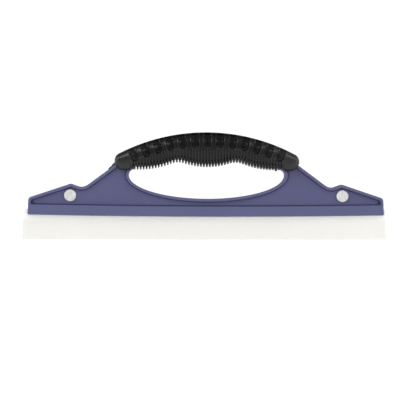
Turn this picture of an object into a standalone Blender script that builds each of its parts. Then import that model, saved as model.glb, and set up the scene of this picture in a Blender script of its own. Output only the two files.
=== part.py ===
"""Squeegee applicator for laying vinyl film: a silicone wiping blade clamped between two moulded
frame halves, which two binding posts hold together, with a rubber hand grip on their handle bar.

It stands upright on the blade: +X runs along the blade, the front faces -Y and +Z is up. The origin
is the middle of the wiping edge. Outlines are drawn in the X-Z plane, in metres from the middle of
the frame, which sits FRAME_X off the middle of the blade, as the blade was slid into its channel.
"""

import math

import bmesh
import bpy

MM = 0.001

# Clearance between neighbouring solids.
GAP = 0.3 * MM

# Blade: one silicone moulding, a bead and a root in the channel and a tapering lip below it.
BLADE_HALF = 160.6 * MM
BLADE_END_SLOPE = 0.06
BLADE_THICK = 3.0 * MM
LIP_EDGE_THICK = 1.5 * MM
HINGE_Z = 18.3 * MM
ROOT_BOTTOM_Z = HINGE_Z + BLADE_THICK / 2 + GAP
BEAD_BOTTOM_Z = 24.4 * MM
BEAD_TOP_Z = 27.2 * MM
BEAD_THICK = 5.0 * MM

# Frame: band along the channel, raised rim, recessed web and two legs up to the handle bar.
FRAME_X = 1.1 * MM
FRAME_HALF = 156.2 * MM
BAND_BOTTOM_Z = 20.5 * MM
BAND_TOP_Z = 29.4 * MM
BAND_BOW = 1.55 * MM
BAND_HALF_THICK = 5.0 * MM
WEB_HALF_THICK = 2.5 * MM
RIM = 2.5 * MM
END_TOP = (155.4 * MM, 36.8 * MM)
PEAK = (118.6 * MM, 49.1 * MM)
VALLEY = (108.0 * MM, 45.2 * MM)
LEG_TOP = (76.6 * MM, 68.4 * MM)

# Hand opening: half an ellipse, with tighter upper corners that run in under the grip.
OPENING_Z = 56.8 * MM
OPENING_HALF = 68.4 * MM
OPENING_DEPTH = 20.6 * MM
CORNER_HALF = 6.2 * MM
CORNER_HEIGHT = 5.5 * MM
CORNER_TURN = math.radians(70)

# Handle: the grip's crown is an arc about a centre below the blade. The bar runs inside it.
CROWN_Z = 94.5 * MM
CROWN_RADIUS = 166.5 * MM
CENTRE_Z = CROWN_Z - CROWN_RADIUS
BAR_TOP_RADIUS = 162.7 * MM
BAR_HALF = 72.5 * MM
BAR_HALF_THICK = 7.0 * MM
BAR_UNDERSIDE = (63.0 * MM, 65.4 * MM)
BAR_UNDERSIDE_MID_Z = 74.0 * MM
LEG_FOOT = 54.6 * MM

# Grip: rubber moulded round the bar, thickest in the middle, with a bulb at each end.
GRIP_HALF = 80.7 * MM
GRIP_HALF_THICK = 13.0 * MM
GRIP_END_HALF_THICK = 10.0 * MM
TOP_SQUARENESS = 2.3
BULB_SQUARENESS = 3.0
COMB_SQUARENESS = 2.0
TOP_ROUND = (3.0 * MM, 3.4 * MM)
BOTTOM_ROUND = (8.5 * MM, 7.8 * MM)
END_ROUND = (4.0 * MM, 3.0 * MM)
# Underside: a middle swell and two side swells, which meet in rounded crests for the fingers.
SWELL_Z = 63.8 * MM
SWELL_RADIUS = 62.5 * MM
SIDE_SWELL_Z = 61.4 * MM
SIDE_SWELL_X = 58.0 * MM
SIDE_SWELL_RADIUS = 68.0 * MM
CREST_ROUND = 5.2 * MM
BULB_Z = 60.1 * MM
BULB_START_X = 63.0 * MM
BULB_LOW_X = 70.0 * MM
# Tongue of rubber on the frame's slope beside the left bulb, as (x, height above the slope).
TONGUE = ((79.0 * MM, 2.8 * MM), (82.6 * MM, 2.2 * MM), (83.8 * MM, 1.4 * MM), (86.2 * MM, 1.2 * MM))
TONGUE_HALF_THICK = 3.2 * MM

# Fasteners: barrel posts from the front, screws from the rear.
POST_X = 119.3 * MM
POST_Z = 38.8 * MM
HEAD_RADIUS = 5.2 * MM
HEAD_THICK = 1.5 * MM
HEAD_BEVEL = 0.5 * MM
BARREL_RADIUS = 2.6 * MM
SHANK_RADIUS = 1.6 * MM
SHANK_LENGTH = 3.6 * MM
SLOT_WIDTH = 1.3 * MM
SLOT_DEPTH = 0.8 * MM

# Locating pegs on the front half, which enter sockets in the rear half.
PEG_RADIUS = 1.6 * MM
PEG_REACH = 1.2 * MM
PEG_PLACES = ((140.0 * MM, 36.0 * MM), (96.0 * MM, 43.0 * MM), (36.0 * MM, 80.5 * MM))

ARC_STEP = math.radians(15)
FRONT = -1
REAR = 1


# Outlines


def rounded(corners):
    """The closed loop through (x, z, radius) corners, each turned into an arc of its radius."""
    loop = []
    for i, (x, z, radius) in enumerate(corners):
        bx, bz, _ = corners[i - 1]
        ax, az, _ = corners[(i + 1) % len(corners)]
        heading_in = math.atan2(z - bz, x - bx)
        heading_out = math.atan2(az - z, ax - x)
        turn = math.remainder(heading_out - heading_in, math.tau)
        if radius <= 0 or abs(turn) < 1e-4:
            loop.append((x, z))
            continue
        back = radius * math.tan(abs(turn) / 2)
        start_x = x - back * math.cos(heading_in)
        start_z = z - back * math.sin(heading_in)
        side = math.copysign(1, turn)
        centre_x = start_x - side * radius * math.sin(heading_in)
        centre_z = start_z + side * radius * math.cos(heading_in)
        steps = max(2, math.ceil(abs(turn) / ARC_STEP))
        for k in range(steps + 1):
            heading = heading_in + turn * k / steps
            loop.append(
                (
                    centre_x + side * radius * math.sin(heading),
                    centre_z - side * radius * math.cos(heading),
                )
            )
    return loop


def offset(corners, distance):
    """The same run of corners, moved outwards by distance where the run turns anticlockwise."""
    moved = []
    last = len(corners) - 1
    for i, (x, z, radius) in enumerate(corners):
        before = corners[max(i - 1, 0)]
        after = corners[min(i + 1, last)]
        heading_in = math.atan2(z - before[1], x - before[0])
        heading_out = math.atan2(after[1] - z, after[0] - x)
        if i == 0:
            heading_in = heading_out
        if i == last:
            heading_out = heading_in
        turn = math.remainder(heading_out - heading_in, math.tau)
        heading = heading_in + turn / 2
        reach = distance / math.cos(turn / 2)
        grown = radius + distance * math.copysign(1, turn) if radius > 0 else 0.0
        moved.append((x + reach * math.sin(heading), z - reach * math.cos(heading), max(0.0, grown)))
    return moved


def both_sides(half):
    """A closed run of corners from its right half, which starts and ends on the middle line."""
    left = [(-x, z, radius) for x, z, radius in reversed(half) if x > 1e-9]
    return half + left


def band_line(middle_z, half):
    """Points along a line of the band from the middle to x = half. The band bows up at its ends."""
    steps = 8
    line = []
    for k in range(steps + 1):
        x = half * k / steps
        line.append((x, middle_z + BAND_BOW * (x / FRAME_HALF) ** 2, 0.0))
    return line


def free_edge():
    """The frame's visible right edge, from the end of the band up to where the leg meets the bar."""
    end_bottom = (FRAME_HALF, BAND_BOTTOM_Z + BAND_BOW, 0.8 * MM)
    return [
        end_bottom,
        (*END_TOP, 3.0 * MM),
        (*PEAK, 2.5 * MM),
        (*VALLEY, 9.5 * MM),
        (*LEG_TOP, 1.0 * MM),
    ]


def bar_top(grow):
    """The bar's upper arc, from the right end to the middle."""
    radius = BAR_TOP_RADIUS + grow
    end = math.asin((BAR_HALF + grow) / radius)
    steps = 14
    arc = []
    for k in range(steps + 1):
        angle = end * (1 - k / steps)
        arc.append((radius * math.sin(angle), CENTRE_Z + radius * math.cos(angle), 0.0))
    return arc


def bar_underside(grow):
    """The bar's lower arc, from the middle to the right leg."""
    end_x, end_z = BAR_UNDERSIDE
    rise = BAR_UNDERSIDE_MID_Z - end_z
    radius = (end_x**2 + rise**2) / (2 * rise)
    centre_z = BAR_UNDERSIDE_MID_Z - radius
    end = math.asin(end_x / radius)
    steps = 12
    arc = []
    for k in range(steps + 1):
        angle = end * k / steps
        arc.append(((radius - grow) * math.sin(angle), centre_z + (radius - grow) * math.cos(angle), 0.0))
    return arc


def opening_side(grow, lowest_z):
    """The opening's right side, from under the grip down to lowest_z, grown outwards by grow."""
    side = []
    steps = 6
    for k in range(steps + 1):
        angle = CORNER_TURN * (1 - k / steps)
        x = OPENING_HALF - CORNER_HALF + (CORNER_HALF + grow) * math.cos(angle)
        side.append((x, OPENING_Z + (CORNER_HEIGHT + grow) * math.sin(angle), 0.0))
    steps = 22
    for k in range(1, steps + 1):
        angle = -math.pi / 2 * k / steps
        x = (OPENING_HALF + grow) * math.cos(angle)
        z = OPENING_Z + (OPENING_DEPTH + grow) * math.sin(angle)
        if z >= lowest_z - 1e-9:
            side.append((max(x, 0.0), z, 0.0))
    return side


def frame_outline():
    half = band_line(BAND_BOTTOM_Z, FRAME_HALF)[:-1] + free_edge() + bar_top(0.0)
    return rounded(both_sides(half))


def opening_outline():
    """The hand opening, with its upper edge along the underside of the bar."""
    lowest = OPENING_Z - OPENING_DEPTH
    half = list(reversed(opening_side(0.0, lowest))) + list(reversed(bar_underside(0.0)))
    return rounded(both_sides(half))


def pocket_outline():
    """The recess in each face between the band, the raised rim and the rim of the opening."""
    edge = offset(free_edge(), -RIM)
    end_x = edge[0][0]
    line = band_line(BAND_TOP_Z, end_x)
    line[-1] = (line[-1][0], line[-1][1], 1.0 * MM)
    inner = opening_side(RIM, OPENING_Z - OPENING_DEPTH - RIM)
    right = line[1:] + edge[1:] + inner[:-1]
    left = [(-x, z, radius) for x, z, radius in reversed(right)]
    return rounded([line[0]] + right + [inner[-1]] + left)


def core_outline(grow):
    """The handle bar and the tops of both legs: what the grip's rubber is moulded around."""
    slope = (LEG_TOP[1] - VALLEY[1]) / (LEG_TOP[0] - VALLEY[0])
    foot = (LEG_TOP[0] + (LEG_FOOT - LEG_TOP[1]) / slope, LEG_FOOT, 0.0)
    outer = offset([foot, (*LEG_TOP, 1.0 * MM), bar_top(0.0)[0]], grow)[:-1] + bar_top(grow)
    inner = bar_underside(grow) + opening_side(-grow, LEG_FOOT)
    left_outer = [(-x, z, radius) for x, z, radius in reversed(outer[:-1])]
    left_inner = [(-x, z, radius) for x, z, radius in reversed(inner[1:])]
    return rounded(outer + left_outer + left_inner + inner)


def bar_outline(grow):
    top = bar_top(grow)
    under = bar_underside(grow)
    left_top = [(-x, z, radius) for x, z, radius in reversed(top[:-1])]
    left_under = [(-x, z, radius) for x, z, radius in reversed(under[1:])]
    return rounded(top + left_top + left_under + under)


def circle(x, z, radius, segments=24):
    loop = []
    for k in range(segments):
        angle = math.tau * k / segments
        loop.append((x + radius * math.cos(angle), z + radius * math.sin(angle)))
    return loop


def rectangle(x0, z0, x1, z1):
    return [(x0, z0), (x1, z0), (x1, z1), (x0, z1)]


# Objects


def new_object(name, mesh_data, location):
    mesh = bpy.data.meshes.new(name)
    bmesh.ops.recalc_face_normals(mesh_data, faces=mesh_data.faces)
    mesh_data.to_mesh(mesh)
    mesh_data.free()
    obj = bpy.data.objects.new(name, mesh)
    obj.location = location
    bpy.context.scene.collection.objects.link(obj)
    return obj


def prism(name, loop, y0, y1, location):
    """A closed loop in the X-Z plane, made solid between two planes of constant y."""
    bm = bmesh.new()
    near = [bm.verts.new((x, y0, z)) for x, z in loop]
    far = [bm.verts.new((x, y1, z)) for x, z in loop]
    bm.faces.new(near)
    bm.faces.new(list(reversed(far)))
    for i in range(len(loop)):
        j = (i + 1) % len(loop)
        bm.faces.new((near[j], near[i], far[i], far[j]))
    return new_object(name, bm, location)


def turned(name, profile, location, segments=48):
    """A profile of (radius, y), from axis to axis, spun about the Y axis."""
    bm = bmesh.new()
    rings = []
    for radius, y in profile:
        if radius < 1e-9:
            rings.append([bm.verts.new((0.0, y, 0.0))])
            continue
        rings.append([bm.verts.new((x, y, z)) for x, z in circle(0.0, 0.0, radius, segments)])
    for first, second in zip(rings, rings[1:]):
        for i in range(segments):
            j = (i + 1) % segments
            if len(first) == 1:
                bm.faces.new((first[0], second[i], second[j]))
            elif len(second) == 1:
                bm.faces.new((first[i], second[0], first[j]))
            else:
                bm.faces.new((first[i], second[i], second[j], first[j]))
    return new_object(name, bm, location)


def strip(name, section, location):
    """A closed (y, z) section run along the blade, its ends leaning in towards the top."""
    bm = bmesh.new()
    ends = []
    for side in (-1, 1):
        ends.append(
            [
                bm.verts.new((side * (BLADE_HALF - BLADE_END_SLOPE * z), y, z - location[2]))
                for y, z in section
            ]
        )
    bm.faces.new(ends[0])
    bm.faces.new(list(reversed(ends[1])))
    for i in range(len(section)):
        j = (i + 1) % len(section)
        bm.faces.new((ends[0][j], ends[0][i], ends[1][i], ends[1][j]))
    return new_object(name, bm, location)


def combine(target, tool, operation):
    """Cuts target by tool or joins tool to it, leaving tool as a hidden guide."""
    tool.hide_render = True
    tool.display_type = "WIRE"
    step = target.modifiers.new(f"{operation.lower()} {tool.name}", "BOOLEAN")
    step.operation = operation
    step.solver = "EXACT"
    step.object = tool


def shade(obj, angle):
    obj.data.shade_smooth()
    obj.data.set_sharp_from_angle(angle=math.radians(angle))


def material(name, colour, roughness, metallic=0.0):
    made = bpy.data.materials.new(name)
    made.use_nodes = True
    shader = made.node_tree.nodes["Principled BSDF"]
    shader.inputs["Base Color"].default_value = (*colour, 1.0)
    shader.inputs["Roughness"].default_value = roughness
    shader.inputs["Metallic"].default_value = metallic
    return made


def frame_plastic():
    return material("blue_plastic", (0.122, 0.127, 0.255), 0.5)


def grip_rubber():
    return material("black_rubber", (0.018, 0.018, 0.019), 0.7)


def blade_silicone():
    return material("white_silicone", (0.87, 0.86, 0.84), 0.45)


def post_metal():
    return material("brushed_metal", (0.66, 0.66, 0.65), 0.42, 1.0)


# Pieces


def frame_shell(name, side, finish):
    """One moulded half of the frame, on the front or the rear side of the parting plane."""
    at = (FRAME_X, 0.0, 0.0)
    parting = side * GAP / 2
    past_parting = -side * MM
    shell = prism(name, frame_outline(), side * BAND_HALF_THICK, parting, at)
    bar = prism(f"{name}_bar", bar_outline(0.0), side * BAR_HALF_THICK, parting, at)
    combine(shell, bar, "UNION")
    opening = prism(f"{name}_opening", opening_outline(), side * 9 * MM, past_parting, at)
    combine(shell, opening, "DIFFERENCE")
    pocket = prism(f"{name}_pocket", pocket_outline(), side * 9 * MM, side * WEB_HALF_THICK, at)
    combine(shell, pocket, "DIFFERENCE")
    past_end = FRAME_HALF + 10 * MM
    channel = rectangle(-past_end, BAND_BOTTOM_Z - 5 * MM, past_end, BEAD_TOP_Z - MM)
    root_side = side * (BLADE_THICK / 2 + GAP)
    combine(shell, prism(f"{name}_channel", channel, root_side, past_parting, at), "DIFFERENCE")
    groove = rectangle(-past_end, BEAD_BOTTOM_Z - GAP, past_end, BEAD_TOP_Z + GAP)
    bead_side = side * (BEAD_THICK / 2 + GAP)
    combine(shell, prism(f"{name}_groove", groove, bead_side, past_parting, at), "DIFFERENCE")
    for hand in (-1, 1):
        hole = circle(hand * POST_X, POST_Z, BARREL_RADIUS + GAP)
        hole_tool = prism(f"{name}_post_hole_{hand}", hole, side * 9 * MM, past_parting, at)
        combine(shell, hole_tool, "DIFFERENCE")
        for number, (x, z) in enumerate(PEG_PLACES):
            label = f"{name}_locator_{hand}_{number}"
            if side == FRONT:
                peg = circle(hand * x, z, PEG_RADIUS, 16)
                combine(shell, prism(label, peg, -MM, GAP / 2 + PEG_REACH, at), "UNION")
            else:
                socket = circle(hand * x, z, PEG_RADIUS + GAP, 16)
                depth = GAP / 2 + PEG_REACH + GAP
                combine(shell, prism(label, socket, -MM, depth, at), "DIFFERENCE")
    shell.data.materials.append(finish)


def eased(share):
    share = min(1.0, max(0.0, share))
    return (1 - math.cos(math.pi * share)) / 2


def crown_z(x):
    return CENTRE_Z + math.sqrt(CROWN_RADIUS**2 - x**2)


def underside_z(x):
    """The grip's underside: three swells with rounded crests between them, and a bulb at each end."""
    x = abs(x)
    swell = SWELL_Z + x**2 / (2 * SWELL_RADIUS)
    side_swell = SIDE_SWELL_Z + max(0.0, SIDE_SWELL_X - x) ** 2 / (2 * SIDE_SWELL_RADIUS)
    share = min(1.0, max(0.0, 0.5 + (side_swell - swell) / (2 * CREST_ROUND)))
    z = side_swell * (1 - share) + swell * share - CREST_ROUND * share * (1 - share)
    bulb = eased((x - BULB_START_X) / (BULB_LOW_X - BULB_START_X))
    return z - (SIDE_SWELL_Z - BULB_Z) * bulb


def corner_drop(x, corner):
    """How far a rounded corner, (length, height), has fallen at x near the end of the grip."""
    length, height = corner
    inside = min(1.0, max(0.0, 1 - (GRIP_HALF - abs(x)) / length))
    return height * (1 - math.sqrt(1 - inside**2))


def grip_section(x, side):
    """Points round one half of the grip at x from the middle, from crown to underside."""
    top = crown_z(x) - corner_drop(x, TOP_ROUND)
    bottom = underside_z(x) + corner_drop(x, BOTTOM_ROUND)
    swell = math.cos(x / GRIP_HALF * math.pi / 2)
    thick = GRIP_END_HALF_THICK + (GRIP_HALF_THICK - GRIP_END_HALF_THICK) * swell
    thick -= corner_drop(x, END_ROUND)
    points = []
    steps = 12
    share = eased((abs(x) - SIDE_SWELL_X) / (BULB_LOW_X - SIDE_SWELL_X))
    below = COMB_SQUARENESS + (BULB_SQUARENESS - COMB_SQUARENESS) * share
    for k in range(steps + 1):
        turn = math.pi * k / steps
        power = 2 / (TOP_SQUARENESS if 2 * k < steps else below)
        reach = max(0.0, math.sin(turn)) ** power
        height = math.copysign(abs(math.cos(turn)) ** power, math.cos(turn))
        y = side * (GAP / 2 + (thick - GAP / 2) * reach)
        points.append((x, y, (top + bottom) / 2 + (top - bottom) / 2 * height))
    return points


def grip_stations():
    """Places of the sections along the grip, closer together where its ends round off."""
    straight = GRIP_HALF - BOTTOM_ROUND[0]
    ends = [straight + BOTTOM_ROUND[0] * math.sin(math.pi / 2 * k / 6) for k in range(1, 7)]
    middle = [straight * k / 20 for k in range(-20, 21)]
    return [-x for x in reversed(ends)] + middle + ends


def tongue_outline():
    """The tongue on the left slope, its underside sunk into the slope for the core to cut away."""
    slope = (LEG_TOP[1] - VALLEY[1]) / (LEG_TOP[0] - VALLEY[0])
    upper = [(-x, LEG_TOP[1] + slope * (x - LEG_TOP[0]) + height) for x, height in TONGUE]
    lower = [(x, LEG_TOP[1] - slope * (x + LEG_TOP[0]) - MM) for x, _ in (upper[-1], upper[0])]
    return upper + lower


def grip_half(name, side, finish):
    """One half of the rubber grip, hollow where the bar and the tops of the legs run through it."""
    at = (FRAME_X, 0.0, 0.0)
    bm = bmesh.new()
    rings = [[bm.verts.new(p) for p in grip_section(x, side)] for x in grip_stations()]
    bm.faces.new(rings[0])
    bm.faces.new(list(reversed(rings[-1])))
    for first, second in zip(rings, rings[1:]):
        for i in range(len(first)):
            j = (i + 1) % len(first)
            bm.faces.new((first[j], first[i], second[i], second[j]))
    grip = new_object(name, bm, at)
    parting = side * GAP / 2
    past_parting = -side * MM
    tongue = prism(f"{name}_tongue", tongue_outline(), side * TONGUE_HALF_THICK, parting, at)
    combine(grip, tongue, "UNION")
    core = prism(f"{name}_core", core_outline(GAP), side * (BAND_HALF_THICK + GAP), past_parting, at)
    combine(grip, core, "DIFFERENCE")
    bar = prism(f"{name}_bar", bar_outline(GAP), side * (BAR_HALF_THICK + GAP), past_parting, at)
    combine(grip, bar, "DIFFERENCE")
    shade(grip, 40)
    grip.data.materials.append(finish)


def blade_root(finish):
    """The blade's bead and root, which the channel clamps."""
    half = BLADE_THICK / 2
    bead = BEAD_THICK / 2
    bevel = 0.5 * MM
    section = [
        (-half, ROOT_BOTTOM_Z),
        (half, ROOT_BOTTOM_Z),
        (half, BEAD_BOTTOM_Z),
        (bead, BEAD_BOTTOM_Z),
        (bead, BEAD_TOP_Z - bevel),
        (bead - bevel, BEAD_TOP_Z),
        (bevel - bead, BEAD_TOP_Z),
        (-bead, BEAD_TOP_Z - bevel),
        (-bead, BEAD_BOTTOM_Z),
        (-half, BEAD_BOTTOM_Z),
    ]
    strip("blade_root", section, (0.0, 0.0, 0.0)).data.materials.append(finish)


def blade_lip(finish):
    """The blade below the channel. Its rounded top turns under the root as the lip bends."""
    half = BLADE_THICK / 2
    edge = LIP_EDGE_THICK / 2
    section = [(-edge, 0.0), (edge, 0.0)]
    steps = 10
    for k in range(steps + 1):
        angle = math.pi * k / steps
        section.append((half * math.cos(angle), HINGE_Z + half * math.sin(angle)))
    strip("blade_lip", section, (0.0, 0.0, HINGE_Z)).data.materials.append(finish)


def binding_post(name, hand, finish):
    """A plain head on the front of the web, with a threaded barrel through both halves."""
    under = -(WEB_HALF_THICK + GAP)
    face = under - HEAD_THICK
    barrel_end = WEB_HALF_THICK - GAP
    bore = SHANK_RADIUS + GAP
    bore_floor = WEB_HALF_THICK + GAP - SHANK_LENGTH - GAP
    profile = [
        (0.0, face),
        (HEAD_RADIUS - HEAD_BEVEL, face),
        (HEAD_RADIUS, face + HEAD_BEVEL),
        (HEAD_RADIUS, under),
        (BARREL_RADIUS, under),
        (BARREL_RADIUS, barrel_end),
        (bore, barrel_end),
        (bore, bore_floor),
        (0.0, bore_floor),
    ]
    post = turned(name, profile, (FRAME_X + hand * POST_X, 0.0, POST_Z))
    shade(post, 35)
    post.data.materials.append(finish)


def clamp_screw(name, hand, finish):
    """A slotted screw in the rear of the web, which pulls up in the barrel of its post."""
    under = WEB_HALF_THICK + GAP
    face = under + HEAD_THICK
    profile = [
        (0.0, face),
        (HEAD_RADIUS - HEAD_BEVEL, face),
        (HEAD_RADIUS, face - HEAD_BEVEL),
        (HEAD_RADIUS, under),
        (SHANK_RADIUS, under),
        (SHANK_RADIUS, under - SHANK_LENGTH),
        (0.0, under - SHANK_LENGTH),
    ]
    at = (FRAME_X + hand * POST_X, 0.0, POST_Z)
    screw = turned(name, profile, at)
    slot = rectangle(-HEAD_RADIUS * 2, -SLOT_WIDTH / 2, HEAD_RADIUS * 2, SLOT_WIDTH / 2)
    slot_tool = prism(f"{name}_slot", slot, face - SLOT_DEPTH, face + MM, at)
    combine(screw, slot_tool, "DIFFERENCE")
    shade(screw, 35)
    screw.data.materials.append(finish)


def main():
    for obj in list(bpy.data.objects):
        bpy.data.objects.remove(obj)
    plastic = frame_plastic()
    rubber = grip_rubber()
    silicone = blade_silicone()
    metal = post_metal()
    frame_shell("front_frame_shell", FRONT, plastic)
    frame_shell("rear_frame_shell", REAR, plastic)
    grip_half("front_grip", FRONT, rubber)
    grip_half("rear_grip", REAR, rubber)
    blade_root(silicone)
    blade_lip(silicone)
    for label, hand in (("left", -1), ("right", 1)):
        binding_post(f"{label}_binding_post", hand, metal)
        clamp_screw(f"{label}_clamp_screw", hand, metal)


main()
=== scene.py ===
"""Looks of the squeegee applicator: moulded blue frame halves, a ribbed black rubber grip, a milky
silicone blade and scuffed metal post heads, in a plain white studio. Lengths are in metres.

The outlines are drawn in the X-Z plane from the middle of the frame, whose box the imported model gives.
"""

import math

import bmesh
import bpy
import numpy as np
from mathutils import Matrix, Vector


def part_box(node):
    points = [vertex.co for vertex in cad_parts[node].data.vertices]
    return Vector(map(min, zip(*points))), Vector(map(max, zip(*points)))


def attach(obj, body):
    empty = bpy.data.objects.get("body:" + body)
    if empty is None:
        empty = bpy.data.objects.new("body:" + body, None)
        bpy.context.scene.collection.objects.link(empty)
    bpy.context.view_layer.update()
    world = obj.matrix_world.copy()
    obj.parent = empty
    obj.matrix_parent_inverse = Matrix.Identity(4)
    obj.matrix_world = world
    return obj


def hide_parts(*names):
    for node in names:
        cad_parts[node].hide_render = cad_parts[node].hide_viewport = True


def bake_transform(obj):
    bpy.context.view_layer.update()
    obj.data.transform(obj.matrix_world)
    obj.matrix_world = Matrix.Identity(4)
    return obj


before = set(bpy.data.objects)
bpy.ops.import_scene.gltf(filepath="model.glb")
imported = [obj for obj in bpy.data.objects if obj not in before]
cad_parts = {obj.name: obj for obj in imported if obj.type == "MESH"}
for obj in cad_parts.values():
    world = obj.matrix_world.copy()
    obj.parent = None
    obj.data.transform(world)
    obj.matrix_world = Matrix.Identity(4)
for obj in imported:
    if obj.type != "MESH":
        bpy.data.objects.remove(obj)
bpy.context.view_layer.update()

MM = 0.001
FRONT = -1
REAR = 1

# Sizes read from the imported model.
SHELL_LOW, SHELL_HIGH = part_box("front_frame_shell")
GRIP_LOW, GRIP_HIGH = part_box("front_grip")
LIP_LOW, LIP_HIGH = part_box("blade_lip")
ROOT_LOW, ROOT_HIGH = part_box("blade_root")
POST_LOW, POST_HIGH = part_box("right_binding_post")
FRAME_X = (SHELL_LOW[0] + SHELL_HIGH[0]) / 2
FRAME_HALF = (SHELL_HIGH[0] - SHELL_LOW[0]) / 2
BAND_BOTTOM_Z = SHELL_LOW[2]
HALF_GAP = 0.04 * MM
BEAD_HEIGHT = 2.8 * MM

# Frame: band along the channel, raised rim, recessed web and two legs up to the handle bar.
BAND_HEIGHT = 8.9 * MM
BAND_BOW = 1.55 * MM
BAND_HALF_THICK = 5.0 * MM
WEB_HALF_THICK = 2.5 * MM
RIM = 2.5 * MM
END_TOP = (155.4 * MM, 36.8 * MM)
PEAK = (118.6 * MM, 49.1 * MM)
VALLEY = (108.0 * MM, 45.2 * MM)
LEG_TOP = (76.6 * MM, 68.4 * MM)
LEG_ROUND = 1.5 * MM
OUTER_ROUND = 1.0 * MM
INNER_ROUND = 0.4 * MM
END_PIT = (
    (150.6 * MM, 31.3 * MM),
    (152.8 * MM, 31.3 * MM),
    (152.4 * MM, 34.5 * MM),
    (150.6 * MM, 33.8 * MM),
)
PIT_ROUND = 0.5 * MM
PIT_TAPER = 0.2 * MM
PIT_DEPTH = 1.0 * MM
POCKET_ROUND = 1.1 * MM
POCKET_DRAFT = 0.15 * MM
GUTTER_DEPTH = 0.6 * MM
GUTTER_WIDTH = 0.68 * MM
GUTTER_CORNER = 0.14 * MM
PARTING_CHAMFER = 0.25 * MM

# Hand opening: half an ellipse, with tighter upper corners that run in under the grip.
OPENING_Z = 56.8 * MM
OPENING_HALF = 68.4 * MM
OPENING_DEPTH = 20.6 * MM
CORNER_HALF = 6.2 * MM
CORNER_HEIGHT = 5.5 * MM
CORNER_TURN = math.radians(70)
POCKET_TURN = math.radians(30)

# Handle bar inside the grip.
CROWN_RADIUS = 166.5 * MM
CROWN_Z = GRIP_HIGH[2]
CENTRE_Z = CROWN_Z - CROWN_RADIUS
BAR_TOP_RADIUS = 162.7 * MM
BAR_HALF = 72.5 * MM
BAR_HALF_THICK = 7.0 * MM
BAR_UNDERSIDE = (63.0 * MM, 65.4 * MM)
BAR_UNDERSIDE_MID_Z = 74.0 * MM
LEG_FOOT = 54.6 * MM

# Fasteners.
POST_X = (POST_LOW[0] + POST_HIGH[0]) / 2 - FRAME_X
POST_Z = (POST_LOW[2] + POST_HIGH[2]) / 2
BARREL_RADIUS = 2.6 * MM
CLEARANCE = 0.3 * MM

ARC_STEP = math.radians(6)


# Outlines


def rounded(corners):
    """The closed loop through (x, z, radius) corners, each turned into an arc of its radius."""
    loop = []
    for i, (x, z, radius) in enumerate(corners):
        bx, bz, _ = corners[i - 1]
        ax, az, _ = corners[(i + 1) % len(corners)]
        heading_in = math.atan2(z - bz, x - bx)
        heading_out = math.atan2(az - z, ax - x)
        turn = math.remainder(heading_out - heading_in, math.tau)
        if radius <= 0 or abs(turn) < 1e-4:
            loop.append((x, z))
            continue
        back = radius * math.tan(abs(turn) / 2)
        start_x = x - back * math.cos(heading_in)
        start_z = z - back * math.sin(heading_in)
        side = math.copysign(1, turn)
        centre_x = start_x - side * radius * math.sin(heading_in)
        centre_z = start_z + side * radius * math.cos(heading_in)
        steps = max(3, math.ceil(abs(turn) / ARC_STEP))
        for k in range(steps + 1):
            heading = heading_in + turn * k / steps
            loop.append(
                (
                    centre_x + side * radius * math.sin(heading),
                    centre_z - side * radius * math.cos(heading),
                )
            )
    return loop


def offset(corners, distance):
    """The same run of corners, moved outwards by distance where the run turns anticlockwise."""
    moved = []
    last = len(corners) - 1
    for i, (x, z, radius) in enumerate(corners):
        before = corners[max(i - 1, 0)]
        after = corners[min(i + 1, last)]
        heading_in = math.atan2(z - before[1], x - before[0])
        heading_out = math.atan2(after[1] - z, after[0] - x)
        if i == 0:
            heading_in = heading_out
        if i == last:
            heading_out = heading_in
        turn = math.remainder(heading_out - heading_in, math.tau)
        heading = heading_in + turn / 2
        reach = distance / math.cos(turn / 2)
        grown = radius + distance * math.copysign(1, turn) if radius > 0 else 0.0
        moved.append((x + reach * math.sin(heading), z - reach * math.cos(heading), max(0.0, grown)))
    return moved


def grow_loop(loop, distance):
    """A closed anticlockwise loop with each point moved outwards by distance."""
    if distance == 0:
        return list(loop)
    moved = []
    for i, (x, z) in enumerate(loop):
        bx, bz = loop[i - 1]
        ax, az = loop[(i + 1) % len(loop)]
        heading_in = math.atan2(z - bz, x - bx)
        turn = math.remainder(math.atan2(az - z, ax - x) - heading_in, math.tau)
        heading = heading_in + turn / 2
        reach = distance / max(0.5, math.cos(turn / 2))
        moved.append((x + reach * math.sin(heading), z - reach * math.cos(heading)))
    return moved


def both_sides(half):
    """A closed run of corners from its right half, which starts and ends on the middle line."""
    return half + [(-x, z, radius) for x, z, radius in reversed(half) if x > 1e-9]


def band_line(middle_z, half):
    """Points along a line of the band from the middle to x = half. The band bows up at its ends."""
    steps = 24
    line = []
    for k in range(steps + 1):
        x = half * k / steps
        line.append((x, middle_z + BAND_BOW * (x / FRAME_HALF) ** 2, 0.0))
    return line


def free_edge():
    """The frame's visible right edge, from the end of the band up to where the leg meets the bar."""
    return [
        (FRAME_HALF, BAND_BOTTOM_Z + BAND_BOW, 1.2 * MM),
        (*END_TOP, 3.2 * MM),
        (*PEAK, 3.0 * MM),
        (*VALLEY, 9.5 * MM),
        (*LEG_TOP, LEG_ROUND),
    ]


def bar_top(grow):
    """The bar's upper arc, from the right end to the middle."""
    radius = BAR_TOP_RADIUS + grow
    end = math.asin((BAR_HALF + grow) / radius)
    steps = 40
    arc = []
    for k in range(steps + 1):
        angle = end * (1 - k / steps)
        arc.append((radius * math.sin(angle), CENTRE_Z + radius * math.cos(angle), 0.0))
    return arc


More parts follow.
